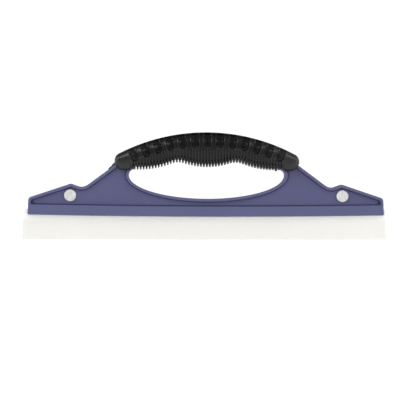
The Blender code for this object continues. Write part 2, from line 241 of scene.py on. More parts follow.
def bar_underside(grow):
    """The bar's lower arc, from the middle to the right leg."""
    end_x, end_z = BAR_UNDERSIDE
    rise = BAR_UNDERSIDE_MID_Z - end_z
    radius = (end_x**2 + rise**2) / (2 * rise)
    centre_z = BAR_UNDERSIDE_MID_Z - radius
    end = math.asin(end_x / radius)
    steps = 32
    arc = []
    for k in range(steps + 1):
        angle = end * k / steps
        arc.append(((radius - grow) * math.sin(angle), centre_z + (radius - grow) * math.cos(angle), 0.0))
    return arc


def opening_side(grow, lowest_z, turn=CORNER_TURN):
    """The opening's right side, from under the grip down to lowest_z, grown outwards by grow."""
    side = []
    steps = round(turn / ARC_STEP)
    for k in range(steps + 1):
        angle = turn * (1 - k / steps)
        x = OPENING_HALF - CORNER_HALF + (CORNER_HALF + grow) * math.cos(angle)
        side.append((x, OPENING_Z + (CORNER_HEIGHT + grow) * math.sin(angle), 0.0))
    steps = 56
    for k in range(1, steps + 1):
        angle = -math.pi / 2 * k / steps
        x = (OPENING_HALF + grow) * math.cos(angle)
        z = OPENING_Z + (OPENING_DEPTH + grow) * math.sin(angle)
        if z >= lowest_z - 1e-9:
            side.append((max(x, 0.0), z, 0.0))
    return side


def frame_outline():
    half = band_line(BAND_BOTTOM_Z, FRAME_HALF)[:-1] + free_edge() + bar_top(0.0)
    return rounded(both_sides(half))


def opening_outline():
    """The hand opening, with its upper edge along the underside of the bar."""
    lowest = OPENING_Z - OPENING_DEPTH
    half = list(reversed(opening_side(0.0, lowest))) + list(reversed(bar_underside(0.0)))
    return rounded(both_sides(half))


def pocket_outline():
    """The recess in each face between the band, the raised rim and the rim of the opening."""
    edge = [(x, z, max(radius, POCKET_ROUND)) for x, z, radius in offset(free_edge(), -RIM)]
    line = band_line(BAND_BOTTOM_Z + BAND_HEIGHT, edge[0][0])
    line[-1] = (line[-1][0], line[-1][1], POCKET_ROUND)
    inner = opening_side(RIM, OPENING_Z - OPENING_DEPTH - RIM, POCKET_TURN)
    right = line[1:] + edge[1:] + inner[:-1]
    left = [(-x, z, radius) for x, z, radius in reversed(right)]
    return rounded([line[0]] + right + [inner[-1]] + left)


def core_outline(grow):
    """The handle bar and the tops of both legs: what the grip's rubber is moulded around."""
    slope = (LEG_TOP[1] - VALLEY[1]) / (LEG_TOP[0] - VALLEY[0])
    foot = (LEG_TOP[0] + (LEG_FOOT - LEG_TOP[1]) / slope, LEG_FOOT, 0.0)
    outer = offset([foot, (*LEG_TOP, LEG_ROUND), bar_top(0.0)[0]], grow)[:-1] + bar_top(grow)
    inner = bar_underside(grow) + opening_side(-grow, LEG_FOOT)
    left_outer = [(-x, z, radius) for x, z, radius in reversed(outer[:-1])]
    left_inner = [(-x, z, radius) for x, z, radius in reversed(inner[1:])]
    return rounded(outer + left_outer + left_inner + inner)


def bar_outline(grow):
    top = bar_top(grow)
    under = bar_underside(grow)
    left_top = [(-x, z, radius) for x, z, radius in reversed(top[:-1])]
    left_under = [(-x, z, radius) for x, z, radius in reversed(under[1:])]
    return rounded(top + left_top + left_under + under)


def circle(x, z, radius, segments=64):
    loop = []
    for k in range(segments):
        angle = math.tau * k / segments
        loop.append((x + radius * math.cos(angle), z + radius * math.sin(angle)))
    return loop


def rectangle(x0, z0, x1, z1):
    return [(x0, z0), (x1, z0), (x1, z1), (x0, z1)]


# Meshes


def new_object(name, bm):
    """An object from faces that all wind one way, turned so that they face outwards."""
    if bm.calc_volume(signed=True) < 0:
        bmesh.ops.reverse_faces(bm, faces=bm.faces)
    mesh = bpy.data.meshes.new(name)
    bm.to_mesh(mesh)
    bm.free()
    obj = bpy.data.objects.new(name, mesh)
    bpy.context.scene.collection.objects.link(obj)
    return obj


def layered(name, loop, levels):
    """A closed loop made solid through (y, grow) levels: at each y the loop is grown by grow."""
    bm = bmesh.new()
    rings = []
    for y, grow in levels:
        rings.append([bm.verts.new((FRAME_X + x, y, z)) for x, z in grow_loop(loop, grow)])
    bm.faces.new(rings[0])
    bm.faces.new(list(reversed(rings[-1])))
    for near, far in zip(rings, rings[1:]):
        for i in range(len(loop)):
            j = (i + 1) % len(loop)
            bm.faces.new((near[j], near[i], far[i], far[j]))
    return new_object(name, bm)


def applied(target, steps):
    """Target after Boolean steps, each (operation, tool). The tools are removed."""
    for operation, tool in steps:
        modifier = target.modifiers.new(operation, "BOOLEAN")
        modifier.operation = operation
        modifier.solver = "EXACT"
        modifier.object = tool
    bpy.context.view_layer.update()
    depsgraph = bpy.context.evaluated_depsgraph_get()
    mesh = bpy.data.meshes.new_from_object(target.evaluated_get(depsgraph))
    target.modifiers.clear()
    target.data = mesh
    for _, tool in steps:
        bpy.data.objects.remove(tool)
    return target


def smooth(obj, angle):
    obj.data.shade_smooth()
    obj.data.set_sharp_from_angle(angle=math.radians(angle))
    weighted = obj.modifiers.new("even shading", "WEIGHTED_NORMAL")
    weighted.keep_sharp = True


def finish_piece(obj, material, body, slot, *nodes):
    obj.data.materials.clear()
    obj.data.materials.append(material)
    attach(obj, body)
    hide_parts(*nodes)


# Frame halves


def edge_round(face, radius, grow_at_wall, side):
    """Levels that round a solid's outer edge off, from its face to its wall, over a radius."""
    steps = 5
    levels = []
    for k in range(steps + 1):
        angle = math.pi / 2 * k / steps
        levels.append(
            (
                side * (face - radius * (1 - math.cos(angle))),
                grow_at_wall - radius * (1 - math.sin(angle)),
            )
        )
    return levels


def flare(face, radius, side):
    """Levels of a cutter that leaves a rounded edge where it breaks through a face."""
    steps = 4
    levels = [(side * (face + 4 * MM), radius)]
    for k in range(steps + 1):
        angle = math.pi / 2 * k / steps
        levels.append(
            (side * (face - radius * (1 - math.cos(angle))), radius * (1 - math.sin(angle)))
        )
    return levels


def pocket_levels(side):
    """The pocket's wall: a rounded upper edge, a slight draft and a gutter sunk into the web."""
    bottom = WEB_HALF_THICK - GUTTER_DEPTH
    return flare(BAND_HALF_THICK, INNER_ROUND, side) + [
        (side * WEB_HALF_THICK, -POCKET_DRAFT),
        (side * (bottom + GUTTER_CORNER), -POCKET_DRAFT),
        (side * bottom, -POCKET_DRAFT - GUTTER_CORNER),
        (side * bottom, -GUTTER_WIDTH),
        (side * WEB_HALF_THICK, -GUTTER_WIDTH - 2 * GUTTER_CORNER),
    ]


def through_levels(side):
    """A cut right through one half, rounded at the face and chamfered at the parting plane."""
    return flare(BAND_HALF_THICK, INNER_ROUND, side) + [
        (side * (HALF_GAP + PARTING_CHAMFER), 0.0),
        (side * HALF_GAP, PARTING_CHAMFER),
        (-side * MM, PARTING_CHAMFER),
    ]


def frame_shell(name, side, material, node):
    """One moulded half of the frame, on the front or the rear side of the parting plane."""
    body_levels = edge_round(BAND_HALF_THICK, OUTER_ROUND, 0.0, side)
    body_levels += [
        (side * (HALF_GAP + PARTING_CHAMFER), 0.0),
        (side * HALF_GAP, -PARTING_CHAMFER),
    ]
    shell = layered(name, frame_outline(), body_levels)
    bar_levels = [(side * BAR_HALF_THICK, 0.0), (side * HALF_GAP, 0.0)]
    past_end = FRAME_HALF + 10 * MM
    root_half = (ROOT_HIGH[1] - ROOT_LOW[1]) / 2
    lip_half = (LIP_HIGH[1] - LIP_LOW[1]) / 2
    bead_top = ROOT_HIGH[2]
    bead_bottom = bead_top - BEAD_HEIGHT
    channel = rectangle(-past_end, BAND_BOTTOM_Z - 5 * MM, past_end, bead_top - MM)
    groove = rectangle(-past_end, bead_bottom - CLEARANCE, past_end, bead_top + CLEARANCE)
    mouth_levels = [(side * (lip_half + CLEARANCE), 0.0), (-side * MM, 0.0)]
    groove_levels = [(side * (root_half + CLEARANCE), 0.0), (-side * MM, 0.0)]
    steps = [
        ("UNION", layered(f"{name}_bar", bar_outline(0.0), bar_levels)),
        ("DIFFERENCE", layered(f"{name}_opening", opening_outline(), through_levels(side))),
        ("DIFFERENCE", layered(f"{name}_pocket", pocket_outline(), pocket_levels(side))),
        ("DIFFERENCE", layered(f"{name}_channel", channel, mouth_levels)),
        ("DIFFERENCE", layered(f"{name}_groove", groove, groove_levels)),
    ]
    pit_levels = [(side * BAND_HALF_THICK, 0.0), (side * (WEB_HALF_THICK - PIT_DEPTH), -PIT_TAPER)]
    hole_levels = [(side * (BAND_HALF_THICK + 4 * MM), 0.0), (-side * MM, 0.0)]
    for hand in (-1, 1):
        pit = rounded([(hand * x, z, PIT_ROUND) for x, z in END_PIT[::hand]])
        steps.append(("DIFFERENCE", layered(f"{name}_pit", pit, pit_levels)))
        hole = circle(hand * POST_X, POST_Z, BARREL_RADIUS + CLEARANCE)
        steps.append(("DIFFERENCE", layered(f"{name}_hole", hole, hole_levels)))
    shell = applied(shell, steps)
    smooth(shell, 38)
    finish_piece(shell, material, "frame", "frame_plastic", node)


# Grip

GRIP_HALF = GRIP_HIGH[0] - FRAME_X
GRIP_HALF_THICK = -GRIP_LOW[1]
GRIP_END_HALF_THICK = 10.0 * MM
TOP_SQUARENESS = 2.3
BULB_SQUARENESS = 3.0
COMB_SQUARENESS = 2.0
TOP_ROUND = (3.0 * MM, 3.4 * MM)
BOTTOM_ROUND = (8.5 * MM, 7.8 * MM)
END_ROUND = (4.0 * MM, 3.0 * MM)
# Underside: a middle swell and two side swells, which meet in rounded crests for the fingers.
SWELL_Z = 63.8 * MM
SWELL_RADIUS = 62.5 * MM
SIDE_SWELL_Z = 61.4 * MM
SIDE_SWELL_X = 58.0 * MM
SIDE_SWELL_RADIUS = 68.0 * MM
CREST_ROUND = 5.2 * MM
BULB_Z = 60.1 * MM
BULB_START_X = 63.0 * MM
BULB_LOW_X = 70.0 * MM
# Tongue: (distance from the middle, height over the slope of the leg).
TONGUE = ((79.0 * MM, 2.8 * MM), (82.6 * MM, 2.2 * MM), (83.8 * MM, 1.4 * MM), (86.2 * MM, 1.2 * MM))
TONGUE_HALF_THICK = 3.2 * MM
TONGUE_ROUND = 0.4 * MM
# Comb of fins along the lower part. One fin at the right reaches further down.
FIN_COUNT = 51
FIN_PITCH = 2.64 * MM
FIN_HALF = 0.72 * MM
FIN_WALL = 0.16 * MM
FIN_RELIEF = 1.8 * MM
FIN_REACH = 2.5 * MM
FIN_TOP_MIDDLE = 15.4 * MM
FIN_TOP_END = 13.2 * MM
FIN_TOP_END_X = 50.0 * MM
FIN_TOP_FADE = 0.6 * MM
FIN_EDGE_GROOVE = 0.12
FIN_FLAT = 0.7
LONG_FIN_X = 23 * FIN_PITCH
LONG_FIN_EXTRA = 0.9 * MM
# Shares of the grip's half height below its middle, where the grooves deepen and the long fin grows.
DEEP_START = 0.45
DEEP_SPAN = 0.5
LONG_FIN_START = 0.9
LONG_FIN_SPAN = 0.08
# Finger slots over the crown, spaced by angle about the crown's centre.
SLOTS_EACH_SIDE = 6
SLOT_ANGLE = math.radians(3.96)
SLOT_HALF = 2.9 * MM
SLOT_TOP = 1.0 * MM
SLOT_LENGTH = 13.6 * MM
SLOT_LENGTH_LOSS = 1.3 * MM
SLOT_DEPTH = 2.4 * MM
SLOT_SKIN = 0.5 * MM
SLOT_FLOOR_RISE = 0.08
SLOT_FLOOR_INSET = 0.6 * MM
SLOT_FLOOR_FADE = 1.3 * MM
SLOT_START = 0.2 * MM
SLOT_WALL = 0.7 * MM
SLOT_LIP = 0.16 * MM
SLOT_LIP_START = 0.2 * MM
SLOT_LIP_PLACE = 0.6 * MM
SLOT_LIP_WIDTH = 0.3 * MM
SECTION_POINTS = 140
# Least part of a surface's direction that a slot's room is divided by.
LEAST_SLANT = 0.05


def eased(t):
    t = np.clip(t, 0.0, 1.0)
    return t * t * (3 - 2 * t)


def crown_z(x):
    return CENTRE_Z + math.sqrt(CROWN_RADIUS**2 - x**2)


def underside_z(x):
    """The grip's underside: three swells with rounded crests between them, and a bulb at each end."""
    x = abs(x)
    swell = SWELL_Z + x**2 / (2 * SWELL_RADIUS)
    side_swell = SIDE_SWELL_Z + max(0.0, SIDE_SWELL_X - x) ** 2 / (2 * SIDE_SWELL_RADIUS)
    share = min(1.0, max(0.0, 0.5 + (side_swell - swell) / (2 * CREST_ROUND)))
    z = side_swell * (1 - share) + swell * share - CREST_ROUND * share * (1 - share)
    along_bulb = min(1.0, max(0.0, (x - BULB_START_X) / (BULB_LOW_X - BULB_START_X)))
    return z - (SIDE_SWELL_Z - BULB_Z) * (1 - math.cos(math.pi * along_bulb)) / 2


def corner_drop(x, corner):
    """How far a rounded corner, (length, height), has fallen at x near the end of the grip."""
    length, height = corner
    inside = min(1.0, max(0.0, 1 - (GRIP_HALF - abs(x)) / length))
    return height * (1 - math.sqrt(1 - inside**2))


def fin_stations():
    """(x, groove) across the fins: groove is 0 on a fin's edge and 1 between two fins."""
    wall = FIN_HALF + FIN_WALL
    marks = (
        (-FIN_HALF, FIN_EDGE_GROOVE),
        (-FIN_HALF * FIN_FLAT, 0.0),
        (0.0, 0.0),
        (FIN_HALF * FIN_FLAT, 0.0),
        (FIN_HALF, FIN_EDGE_GROOVE),
        (wall, 1.0),
        (FIN_PITCH / 2, 1.0),
        (FIN_PITCH - wall, 1.0),
    )
    first = -(FIN_COUNT - 1) // 2
    stations = []
    for i in range(FIN_COUNT):
        for shift, groove in marks:
            stations.append(((first + i) * FIN_PITCH + shift, groove))
    return stations[:-3]


def grip_stations():
    """(x, groove) for each section from the left end to the right one."""
    fins = fin_stations()
    edge = fins[-1][0]
    straight = GRIP_HALF - BOTTOM_ROUND[0]
    steps = 24
    right = [(edge + (straight - edge) * k / steps, 0.0) for k in range(1, steps + 1)]
    steps = 18
    for k in range(1, steps + 1):
        right.append((straight + BOTTOM_ROUND[0] * math.sin(math.pi / 2 * k / steps), 0.0))
    left = [(-x, groove) for x, groove in reversed(right)]
    return left + fins + right


def section_shape(below):
    """Evenly spaced (height, reach) pairs round half of a squared oval, from top to bottom."""
    turn = np.linspace(0.0, math.pi, 2001)
    power = 2 / np.where(turn < math.pi / 2, TOP_SQUARENESS, below)
    reach = np.sin(turn).clip(0.0) ** power
    height = np.copysign(np.abs(np.cos(turn)) ** power, np.cos(turn))
    run = np.concatenate([[0.0], np.cumsum(np.hypot(np.diff(reach), np.diff(height)))])
    at = np.linspace(0.0, run[-1], SECTION_POINTS)
    return np.interp(at, run, height), np.interp(at, run, reach)


def slot_depth(x, z):
    """How deep the finger slots are at points (x, z), with a raised lip round each."""
    radius = np.hypot(x, z - CENTRE_Z)
    angle = np.arctan2(x, z - CENTRE_Z)
    below = CROWN_RADIUS - radius
    depth = np.zeros_like(x)
    for i in range(-SLOTS_EACH_SIDE, SLOTS_EACH_SIDE + 1):
        across = np.abs(radius * np.sin(angle - i * SLOT_ANGLE))
        end = SLOT_LENGTH - SLOT_LENGTH_LOSS * (abs(i) / SLOTS_EACH_SIDE) ** 1.5
        outside = np.hypot(across, np.maximum(below - (end - SLOT_HALF), 0.0)) - SLOT_HALF
        floor = 1 - SLOT_FLOOR_RISE * eased((-outside - SLOT_FLOOR_INSET) / SLOT_FLOOR_FADE)
        slot = SLOT_DEPTH * floor * eased(0.5 - outside / SLOT_WALL)
        lip = SLOT_LIP * np.exp(-(((outside - SLOT_LIP_PLACE) / SLOT_LIP_WIDTH) ** 2))
        depth = np.where(outside < SLOT_LIP_START, np.maximum(depth, slot), depth - lip)
    return depth * eased((below - SLOT_START) / SLOT_TOP)


def grip_points(side):
    """The grid of points over one half of the grip: sections by points round each."""
    comb = section_shape(COMB_SQUARENESS)
    bulb = section_shape(BULB_SQUARENESS)
    bar_roof = CROWN_RADIUS - BAR_TOP_RADIUS - CLEARANCE
    stations = grip_stations()
    grid = np.zeros((len(stations), SECTION_POINTS, 3))
    for row, (x, groove) in enumerate(stations):
        share = eased((abs(x) - SIDE_SWELL_X) / (BULB_LOW_X - SIDE_SWELL_X))
        heights, reaches = (a + (b - a) * share for a, b in zip(comb, bulb))
        top = crown_z(x) - corner_drop(x, TOP_ROUND)
        bottom = underside_z(x) + corner_drop(x, BOTTOM_ROUND)
        swell = math.cos(x / GRIP_HALF * math.pi / 2)
        thick = GRIP_END_HALF_THICK + (GRIP_HALF_THICK - GRIP_END_HALF_THICK) * swell
        thick -= corner_drop(x, END_ROUND) + SLOT_LIP
        z = (top + bottom) / 2 + (top - bottom) / 2 * heights
        y = HALF_GAP + (thick - HALF_GAP) * reaches
        tangent_up = np.gradient(z)
        tangent_out = np.gradient(y)
        size = np.hypot(tangent_up, tangent_out)
        normal_up = tangent_out / size
        normal_out = -tangent_up / size
        below = crown_z(x) - z
        spread = min(1.0, abs(x) / FIN_TOP_END_X)
        fin_top = FIN_TOP_MIDDLE + (FIN_TOP_END - FIN_TOP_MIDDLE) * spread
        zone = eased((below - fin_top) / FIN_TOP_FADE)
        relief = FIN_RELIEF + (FIN_REACH - FIN_RELIEF) * eased((-heights - DEEP_START) / DEEP_SPAN)
        skin_out = (y - BAR_HALF_THICK - CLEARANCE - SLOT_SKIN) / np.maximum(normal_out, LEAST_SLANT)
        skin_down = (bar_roof - SLOT_SKIN - below) / np.maximum(normal_up, LEAST_SLANT)
        room = np.maximum(np.maximum(skin_out, skin_down), 0.0)
        slots = np.minimum(slot_depth(np.full_like(z, x), z), room)
        depth = groove * zone * relief + slots
        if abs(x - LONG_FIN_X) < FIN_HALF:
            depth = depth - LONG_FIN_EXTRA * eased((-heights - LONG_FIN_START) / LONG_FIN_SPAN)
        depth[[0, -1]] = (0.0, depth[-2])
        grid[row, :, 0] = x
        grid[row, :, 1] = side * np.maximum(y - normal_out * depth, HALF_GAP)
        grid[row, :, 2] = z - normal_up * depth
    return grid


def tongue_outline():
    """The tongue on the left slope, its underside sunk into the slope for the core to cut away."""
    slope = (LEG_TOP[1] - VALLEY[1]) / (LEG_TOP[0] - VALLEY[0])
    upper = [(-x, LEG_TOP[1] + slope * (x - LEG_TOP[0]) + height) for x, height in TONGUE]
    lower = [(x, LEG_TOP[1] - slope * (x + LEG_TOP[0]) - MM) for x, _ in (upper[-1], upper[0])]
    return upper + lower


def grip_half(name, side, material, node):
    """One half of the rubber grip, hollow where the bar and the tops of the legs run through it."""
    grid = grip_points(side)
    bm = bmesh.new()
    rows = [[bm.verts.new((FRAME_X + x, y, z)) for x, y, z in row] for row in grid]
    bm.faces.new(rows[0])
    bm.faces.new(list(reversed(rows[-1])))
    for first, second in zip(rows, rows[1:]):
        for i in range(SECTION_POINTS):
            j = (i + 1) % SECTION_POINTS
            bm.faces.new((first[j], first[i], second[i], second[j]))
    grip = new_object(name, bm)
    core_levels = [(side * (BAND_HALF_THICK + CLEARANCE), 0.0), (-side * MM, 0.0)]
    bar_levels = [(side * (BAR_HALF_THICK + CLEARANCE), 0.0), (-side * MM, 0.0)]
    tongue_levels = edge_round(TONGUE_HALF_THICK, TONGUE_ROUND, 0.0, side) + [(side * HALF_GAP, 0.0)]
    grip = applied(
        grip,
        [
            ("UNION", layered(f"{name}_tongue", tongue_outline(), tongue_levels)),
            ("DIFFERENCE", layered(f"{name}_core", core_outline(CLEARANCE), core_levels)),
            ("DIFFERENCE", layered(f"{name}_bar", bar_outline(CLEARANCE), bar_levels)),
        ],
    )
    smooth(grip, 50)
    finish_piece(grip, material, "frame", "grip_rubber", node)


# Blade

BLADE_END_SLOPE = 0.06
BLADE_EDGE_HALF = 0.75 * MM
EDGE_CHAMFER = 0.2 * MM
BLADE_STEPS = 80
END_STEPS = 8
# Each end is a rounded wedge beyond a moulded crease. Thickness is given as a share of the blade's.
END_WEDGE = 2.0 * MM
CREASE = 0.3 * MM
CREASE_THIN = 0.82
WEDGE_THICK = 0.97
WEDGE_TIP = 0.12
# The wiping edge waves very slightly along its length: height, radians a metre and phase.
WAVE_HEIGHT = 0.12 * MM
WAVE_PER_METRE = 56.0
WAVE_PHASE = 0.7


def blade_section(hinge_z, lip_half):
    """The (y, z) outline across the blade, from its edge up one side to the bead and down again."""
    bead_half = ROOT_HIGH[1]
    bead_top = ROOT_HIGH[2]
    bead_bottom = bead_top - BEAD_HEIGHT
    side = [(BLADE_EDGE_HALF - EDGE_CHAMFER, 0.0), (BLADE_EDGE_HALF, EDGE_CHAMFER)]
    rows = 18
    for k in range(1, rows + 1):
        z = hinge_z * k / rows
        side.append((BLADE_EDGE_HALF + (lip_half - BLADE_EDGE_HALF) * k / rows, z))
    side += [
        (lip_half, hinge_z + 1.5 * MM),
        (lip_half, bead_bottom),
        (bead_half, bead_bottom + 0.2 * MM),
        (bead_half, bead_top - 0.6 * MM),
        (bead_half - 0.5 * MM, bead_top),
    ]
    return [(-y, z) for y, z in side] + [(y, z) for y, z in reversed(side)]


def blade_stations():
    """(x, thickness, share) along the blade, where share runs from 0 to 1 over an end's wedge."""
    face_half = LIP_HIGH[0] - END_WEDGE
    run = [(face_half * i / BLADE_STEPS, 1.0, 0.0) for i in range(1, BLADE_STEPS)]
    run.append((face_half - CREASE, 1.0, 0.0))
    run.append((face_half, CREASE_THIN, 0.0))
    run.append((face_half + CREASE, WEDGE_THICK, 0.0))
    for k in range(1, END_STEPS + 1):
        share = math.sin(math.pi / 2 * k / END_STEPS)
        rounding = math.sqrt(max(0.0, 1 - share**2))
        run.append((face_half + CREASE, WEDGE_THICK * (WEDGE_TIP + (1 - WEDGE_TIP) * rounding), share))
    left = [(-x, thin, share) for x, thin, share in reversed(run)]
    return left + [(0.0, 1.0, 0.0)] + run


def blade(material):
    """The whole silicone blade: bead and root in the channel, and the lip below it."""
    lip_half = (LIP_HIGH[1] - LIP_LOW[1]) / 2
    hinge_z = LIP_HIGH[2] - lip_half
    section = blade_section(hinge_z, lip_half)
    bm = bmesh.new()
    rings = []
    for x, thin, share in blade_stations():
        ring = []
        for y, z in section:
            end = LIP_HIGH[0] - BLADE_END_SLOPE * z
            along = abs(x) + (end - abs(x)) * share
            fade = 1 - min(1.0, z / hinge_z)
            wave = WAVE_HEIGHT * math.sin(x * WAVE_PER_METRE + WAVE_PHASE) * fade
            ring.append(bm.verts.new((math.copysign(along, x), y * thin + wave, z)))
        rings.append(ring)
    bm.faces.new(rings[0])
    bm.faces.new(list(reversed(rings[-1])))
    for first, second in zip(rings, rings[1:]):
        for i in range(len(section)):
            j = (i + 1) % len(section)
            bm.faces.new((first[j], first[i], second[i], second[j]))
    piece = new_object("silicone_blade", bm)
    smooth(piece, 50)
    piece.data.materials.append(material)
    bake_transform(piece)
    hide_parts("blade_root", "blade_lip")


# Materials

# Pairs of linear colours, which each surface's noise wanders between.
# The sunk pair is painted shade: a darker copy of the blue for the recessed web, as if shade fell in the
# recess.
BLUE_RAISED = ((0.076, 0.08, 0.178), (0.09, 0.094, 0.2))
BLUE_SUNK_PAINTED_SHADE = ((0.066, 0.07, 0.16), (0.079, 0.083, 0.182))
RUBBER_COMB = ((0.0015, 0.0015, 0.0016), (0.0045, 0.0044, 0.0043))
RUBBER_BULB = ((0.013, 0.013, 0.013), (0.024, 0.024, 0.023))
# The paler pair is painted light. It lifts the shade that the band casts on the strip just below it.
SILICONE_LIP = ((0.725, 0.722, 0.692), (0.755, 0.751, 0.721))
SILICONE_PAINTED_LIGHT = ((0.86, 0.858, 0.83), (0.89, 0.888, 0.86))
NICKEL = ((0.53, 0.535, 0.52), (0.76, 0.76, 0.745))
PLASTIC_ROUGHNESS = (0.42, 0.6)
RUBBER_ROUGHNESS = (0.2, 0.34)
SILICONE_ROUGHNESS = (0.3, 0.48)
METAL_ROUGHNESS = (0.3, 0.55)
# Specular levels of the rubber, the share of them left in a slot, and how far the darkened stretches reach.
# Cutting the shine along the crown and in the slots is painted shade.
RUBBER_SHINE = 0.36
CROWN_SHADE_SHINE = 0.06
SLOT_SHADE_SHINE = 0.55
CROWN_SHADE_DEPTH = 3.2 * MM
SLOT_FADE = 0.25
SLOT_FOOT_FADE = 1.5 * MM


class Nodes:
    """A material's nodes, added and joined up in code."""

    def __init__(self, name):
        self.material = bpy.data.materials.new(name)
        self.material.use_nodes = True
        self.tree = self.material.node_tree
        self.shader = self.tree.nodes["Principled BSDF"]
        self.place = self.add("ShaderNodeTexCoord").outputs["Object"]

    def add(self, kind, **settings):
        node = self.tree.nodes.new(kind)
        for key, value in settings.items():
            setattr(node, key, value)
        return node

    def join(self, source, target):
        self.tree.links.new(source, target)

    def noise(self, scale, detail=3.0, roughness=0.5, stretch=(1.0, 1.0, 1.0)):
        """Noise of features about 1 / scale metres across."""
        mapping = self.add("ShaderNodeMapping")
        mapping.inputs["Scale"].default_value = stretch
        self.join(self.place, mapping.inputs["Vector"])
        node = self.add("ShaderNodeTexNoise")
        node.inputs["Scale"].default_value = scale
        node.inputs["Detail"].default_value = detail
        node.inputs["Roughness"].default_value = roughness
        self.join(mapping.outputs["Vector"], node.inputs["Vector"])
        return node.outputs["Fac"]

    def ramp(self, value, colours, start=0.3, end=0.7):
        """The first of a pair of colours up to start, and the second from end on."""
        node = self.add("ShaderNodeValToRGB")
        for element, position, colour in zip(node.color_ramp.elements, (start, end), colours):
            element.position = position
            element.color = (*colour, 1.0)
        self.join(value, node.inputs["Fac"])
        return node.outputs["Color"]

    def between(self, value, low, high):
        """Low where value is 0, high where it is 1."""
        node = self.add("ShaderNodeMapRange")
        node.inputs["To Min"].default_value = low
        node.inputs["To Max"].default_value = high
        self.join(value, node.inputs["Value"])
        return node.outputs["Result"]

    def rising(self, value, start, end):
        """0 where value is at start, 1 where it is at end, whichever is the larger."""
        node = self.add("ShaderNodeMapRange")
        node.inputs["From Min"].default_value = start
        node.inputs["From Max"].default_value = end
        self.join(value, node.inputs["Value"])
        return node.outputs["Result"]

    def maths(self, operation, first, second=0.0):
        node = self.add("ShaderNodeMath", operation=operation)
        for socket, value in zip(node.inputs, (first, second)):
            if isinstance(value, float):
                socket.default_value = value
            else:
                self.join(value, socket)
        return node.outputs["Value"]

    def position(self):
        node = self.add("ShaderNodeSeparateXYZ")
        self.join(self.place, node.inputs["Vector"])
        return node.outputs

    def along(self, axis, low, high):
        """0 where a point is nearer than low to the middle plane of an axis, 1 beyond high."""
        return self.rising(self.maths("ABSOLUTE", self.position()[axis]), low, high)

    def about(self, x, z):
        """Radius and angle from straight up, seen from the front, about an axis along Y."""
        place = self.position()
        across = self.maths("SUBTRACT", place["X"], x)
        up = self.maths("SUBTRACT", place["Z"], z)
        squares = self.maths("ADD", self.maths("POWER", across, 2.0), self.maths("POWER", up, 2.0))
        return self.maths("SQRT", squares), self.maths("ARCTAN2", across, up)

    def mixed(self, first, second, factor):
        """The first colour where factor is 0, the second where it is 1."""
        node = self.add("ShaderNodeMix", data_type="RGBA")
        for name, kind, value in (("A", "RGBA", first), ("B", "RGBA", second), ("Factor", "VALUE", factor)):
            socket = [s for s in node.inputs if s.name == name and s.type == kind][0]
            self.join(value, socket)
        return [s for s in node.outputs if s.type == "RGBA"][0]

    def bump(self, height, distance, strength, below=None):
        node = self.add("ShaderNodeBump")
        node.inputs["Distance"].default_value = distance
        node.inputs["Strength"].default_value = strength
        self.join(height, node.inputs["Height"])
        if below is not None:
            self.join(below, node.inputs["Normal"])
        return node.outputs["Normal"]


def frame_plastic():
    """Satin slate-blue moulded plastic with a fine mould texture and faint flow marks, and painted shade on
    the sunk web.
    """
    m = Nodes("moulded_blue_plastic")
    flow = m.noise(28.0, detail=4.0, roughness=0.55, stretch=(0.35, 1.0, 1.0))
    # Painted shade: points near the middle plane, on the sunk web, take the darker blue.
    face = m.along("Y", WEB_HALF_THICK + 0.2 * MM, BAND_HALF_THICK - 1.2 * MM)
    m.join(m.mixed(m.ramp(flow, BLUE_SUNK_PAINTED_SHADE), m.ramp(flow, BLUE_RAISED), face), m.shader.inputs["Base Color"])
    m.join(m.between(m.noise(160.0, detail=5.0), *PLASTIC_ROUGHNESS), m.shader.inputs["Roughness"])
    m.shader.inputs["Specular IOR Level"].default_value = 0.4
    grain = m.bump(m.noise(2600.0, detail=2.0), distance=0.04 * MM, strength=0.5)
    waves = m.bump(m.noise(45.0, detail=2.0), distance=0.6 * MM, strength=0.12, below=grain)
    m.join(waves, m.shader.inputs["Normal"])
    return m.material


def rubber_shine_and_shade(m):
    """Painted shade: less shine in the finger slots, and least along the crown, to darken them as shade
    would.
    """
    radius, angle = m.about(FRAME_X, CENTRE_Z)
    # Painted shade: the shine falls away over the top 3.2 mm of the crown.
    crown_shade = m.rising(radius, CROWN_RADIUS - CROWN_SHADE_DEPTH, CROWN_RADIUS - CROWN_SHADE_DEPTH / 2)
    half = SLOT_HALF / (CROWN_RADIUS - SLOT_LENGTH / 2) / SLOT_ANGLE
    beside = m.maths("PINGPONG", m.maths("DIVIDE", angle, SLOT_ANGLE), 0.5)
    slot = m.rising(beside, half, half * (1 - SLOT_FADE))
    foot = CROWN_RADIUS - SLOT_LENGTH
    slot = m.maths("MULTIPLY", slot, m.rising(radius, foot, foot + SLOT_FOOT_FADE))
    last = (SLOTS_EACH_SIDE + 0.5) * SLOT_ANGLE
    inside = m.rising(m.maths("ABSOLUTE", angle), last, last - 0.05 * SLOT_ANGLE)
    slot = m.maths("MULTIPLY", slot, inside)
    return m.maths("MULTIPLY", m.between(crown_shade, RUBBER_SHINE, CROWN_SHADE_SHINE), m.between(slot, 1.0, SLOT_SHADE_SHINE))


def grip_rubber():
    """Black rubber with a fine grain and a trace of dust, its shine cut along the crown and in the slots as
    painted shade.
    """
    m = Nodes("ribbed_black_rubber")
    dust = m.noise(70.0, detail=6.0, roughness=0.65)
    comb = m.ramp(dust, RUBBER_COMB, start=0.35, end=0.8)
    bulb = m.ramp(dust, RUBBER_BULB, start=0.35, end=0.8)
    m.join(m.mixed(comb, bulb, m.along("X", 50 * MM, 78 * MM)), m.shader.inputs["Base Color"])
    m.join(m.between(m.noise(220.0, detail=4.0), *RUBBER_ROUGHNESS), m.shader.inputs["Roughness"])
    # The specular level carries painted shade along the crown and in the slots.
    m.join(rubber_shine_and_shade(m), m.shader.inputs["Specular IOR Level"])
    grain = m.bump(m.noise(3200.0), distance=0.05 * MM, strength=0.6)
    lumps = m.bump(m.noise(120.0), distance=0.4 * MM, strength=0.15, below=grain)
    m.join(lumps, m.shader.inputs["Normal"])
    return m.material


